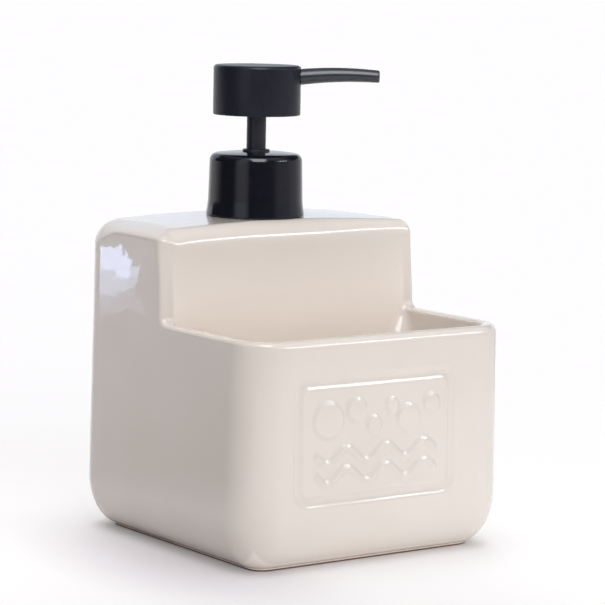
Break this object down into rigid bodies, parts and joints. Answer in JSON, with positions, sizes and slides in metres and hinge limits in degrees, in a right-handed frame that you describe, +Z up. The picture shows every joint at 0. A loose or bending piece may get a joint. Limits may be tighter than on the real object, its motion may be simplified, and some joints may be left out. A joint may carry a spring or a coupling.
{
  "type": "soap pump caddy",
  "caption": "Glazed ceramic soap tank with a screw-on lotion pump and an open sponge holder in front.",
  "frame": {"origin": "middle of the footprint on the standing surface, under the foot ring", "axes": "+Z up; the plaque and the sponge holder's front wall face -Y; +X is to the right seen from the front"},
  "size_m": [0.1104, 0.1125, 0.1643],
  "materials": {
    "glaze": "glossy cream glaze with a bare clay foot ring",
    "black_shell": "satin black",
    "black_collar": "glossy black",
    "black_inner": "plain moulded black",
    "natural_plastic": "milky polypropylene",
    "soft_tube": "milky polyethylene",
    "silicone": "matte silicone",
    "soft_seal": "pale elastomer",
    "steel": "stainless steel"
  },
  "bodies": {
    "caddy": {"ceramic_body": "glaze"},
    "insert": {"neck_insert": "black_inner", "insert_seal": "silicone"},
    "pump": {"pump_housing": "natural_plastic", "neck_gasket": "soft_seal", "guide_ring": "black_inner", "ball_cage": "natural_plastic", "dip_tube": "soft_tube"},
    "closure": {"closure_core": "black_inner", "collar_shell": "black_collar"},
    "plunger": {"piston_rod": "natural_plastic", "pump_spring": "steel"},
    "head": {"stem": "black_inner", "head_shell": "black_shell", "head_hub": "black_inner", "spout": "black_shell"},
    "piston": {"piston_seal": "soft_seal"},
    "ball": {"check_ball": "steel"}
  },
  "joints": [
    {"name": "insert_pull", "type": "slide", "parent": "caddy", "child": "insert", "axis": [0, 0, 1], "range_m": [0, 0.13]},
    {"name": "thread_lift", "type": "slide", "parent": "insert", "child": "pump", "axis": [0, 0, 1], "range_m": [0, 0.0063]},
    {"name": "closure_unscrew", "type": "hinge", "parent": "pump", "child": "closure", "pos_m": [0, 0.0242, 0.1109], "axis": [0, 0, 1], "range_deg": [0, 540]},
    {"name": "pump_stroke", "type": "slide", "parent": "pump", "child": "plunger", "axis": [0, 0, -1], "range_m": [0, 0.012], "stiffness_N_per_m": 400, "springref_m": -0.008, "deforming": ["pump_spring"]},
    {"name": "head_swivel", "type": "hinge", "parent": "plunger", "child": "head", "pos_m": [0, 0.0242, 0.1109], "axis": [0, 0, 1], "continuous": true},
    {"name": "piston_slip", "type": "slide", "parent": "plunger", "child": "piston", "axis": [0, 0, 1], "range_m": [0, 0.001]},
    {"name": "ball_lift", "type": "slide", "parent": "pump", "child": "ball", "axis": [0, 0, 1], "range_m": [0, 0.0015]}
  ],
  "couplings": [
    {"joint": "closure_unscrew", "follows": "thread_lift", "rad_per_m": 1496}
  ]
}
